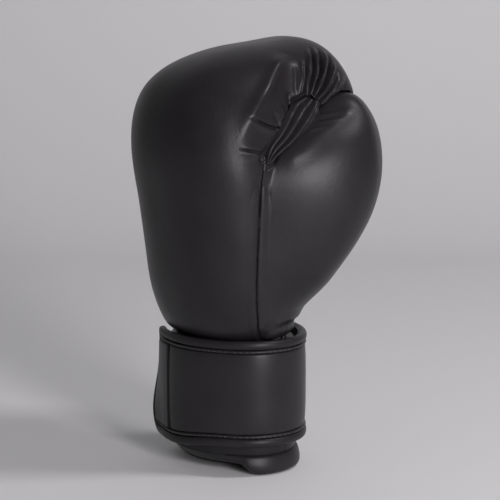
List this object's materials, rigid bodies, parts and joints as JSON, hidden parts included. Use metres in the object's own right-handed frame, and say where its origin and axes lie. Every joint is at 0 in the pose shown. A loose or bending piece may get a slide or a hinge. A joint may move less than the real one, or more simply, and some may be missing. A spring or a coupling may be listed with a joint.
{
  "type": "boxing glove",
  "caption": "Padded boxing glove for the left hand with attached thumb, split wrist cuff and a wide wrap-round hook-and-loop wrist strap.",
  "frame": {"origin": "centre of the wrist opening, in the plane of the cuff's hem", "axes": "+Z from the cuff to the knuckles, +X towards the palm, +Y towards the little finger, so the thumb is on the -Y side"},
  "size_m": [0.1547, 0.1455, 0.295],
  "materials": {
    "leather": "matte black synthetic leather with a fine grain",
    "palm_leather": "matte black synthetic leather",
    "thumb_leather": "matte black synthetic leather",
    "cuff_leather": "matte black synthetic leather",
    "strap_leather": "matte black synthetic leather, slightly smoother",
    "binding": "folded edge binding with one row of stitches",
    "hem": "soft rolled hem",
    "strap_lining": "black woven lining",
    "lining": "black woven nylon lining",
    "foam": "soft polyurethane foam",
    "inner_foam": "dense layered foam",
    "grip_bar": "firm foam rod",
    "hook_tape": "hook tape",
    "loop_tape": "looped pile tape",
    "patch": "plain sewn patch"
  },
  "bodies": {
    "mitt": {"mitt_back_leather": "leather", "mitt_palm_leather": "palm_leather", "knuckle_foam_outer": "foam", "knuckle_foam_inner": "inner_foam", "back_foam_outer": "foam", "back_foam_inner": "inner_foam", "palm_foam": "foam", "grip_bar": "grip_bar", "hand_lining": "lining", "thumb_web": "thumb_leather", "cuff_back_leather": "cuff_leather", "cuff_back_foam": "foam", "cuff_back_lining": "lining", "cuff_back_hem": "hem", "cuff_loop_tape": "loop_tape"},
    "thumb": {"thumb_outer_leather": "thumb_leather", "thumb_inner_leather": "thumb_leather", "thumb_foam_tip": "foam", "thumb_foam_palm_side": "foam", "thumb_foam_seam_side": "foam", "thumb_lining": "lining"},
    "little_finger_flap": {"little_finger_flap_leather": "cuff_leather", "little_finger_flap_foam": "foam", "little_finger_flap_lining": "lining", "little_finger_flap_hem": "hem", "strap_anchor_lining": "strap_lining", "strap_anchor_leather": "strap_leather", "strap_anchor_foam": "foam", "strap_anchor_binding": "binding"},
    "thumb_side_flap": {"thumb_side_flap_leather": "cuff_leather", "thumb_side_flap_foam": "foam", "thumb_side_flap_lining": "lining", "thumb_side_flap_hem": "hem"},
    "strap_palm": {"strap_palm_lining": "strap_lining", "strap_palm_leather": "strap_leather", "strap_palm_foam": "foam", "strap_palm_binding": "binding"},
    "strap_side": {"strap_side_lining": "strap_lining", "strap_side_leather": "strap_leather", "strap_side_foam": "foam", "strap_side_binding": "binding"},
    "strap_back": {"strap_back_lining": "strap_lining", "strap_back_leather": "strap_leather", "strap_back_foam": "foam", "strap_back_binding": "binding"},
    "tab": {"tab_leather": "strap_leather", "tab_foam": "foam", "tab_hook_tape": "hook_tape", "tab_patch": "patch", "tab_binding": "binding"}
  },
  "joints": [
    {"name": "strap_unwrap", "type": "hinge", "parent": "little_finger_flap", "child": "strap_palm", "pos_m": [0.04463, 0.02063, 0.057], "axis": [0, 0, 1], "range_deg": [0, 50]},
    {"name": "strap_bend_thumb_side", "type": "hinge", "parent": "strap_palm", "child": "strap_side", "pos_m": [0.02843, -0.04713, 0.057], "axis": [0, 0, 1], "range_deg": [0, 60]},
    {"name": "strap_bend_back", "type": "hinge", "parent": "strap_side", "child": "strap_back", "pos_m": [-0.01375, -0.05648, 0.057], "axis": [0, 0, 1], "range_deg": [0, 60]},
    {"name": "tab_peel", "type": "hinge", "parent": "strap_back", "child": "tab", "pos_m": [-0.04725, -0.00929, 0.057], "axis": [0, 0, 1], "range_deg": [0, 60]},
    {"name": "little_finger_flap_open", "type": "hinge", "parent": "mitt", "child": "little_finger_flap", "pos_m": [0.00875, 0.05135, 0.045], "axis": [0, 0, 1], "range_deg": [0, 15]},
    {"name": "thumb_side_flap_open", "type": "hinge", "parent": "mitt", "child": "thumb_side_flap", "pos_m": [0.00875, -0.05135, 0.045], "axis": [0, 0, -1], "range_deg": [0, 15]},
    {"name": "thumb_flex", "type": "hinge", "parent": "mitt", "child": "thumb", "pos_m": [-0.01487, -0.05149, 0.1], "axis": [0.8351, 0.5501, 0], "range_deg": [0, 6], "stiffness_Nm_per_rad": 1.2, "springref_deg": -5.73}
  ],
  "couplings": [
    {"joint": "strap_bend_thumb_side", "follows": "strap_unwrap", "ratio": 1.2},
    {"joint": "strap_bend_back", "follows": "strap_unwrap", "ratio": 1.2},
    {"joint": "little_finger_flap_open", "follows": "strap_unwrap", "ratio": 0.3},
    {"joint": "thumb_side_flap_open", "follows": "strap_unwrap", "ratio": 0.3}
  ]
}
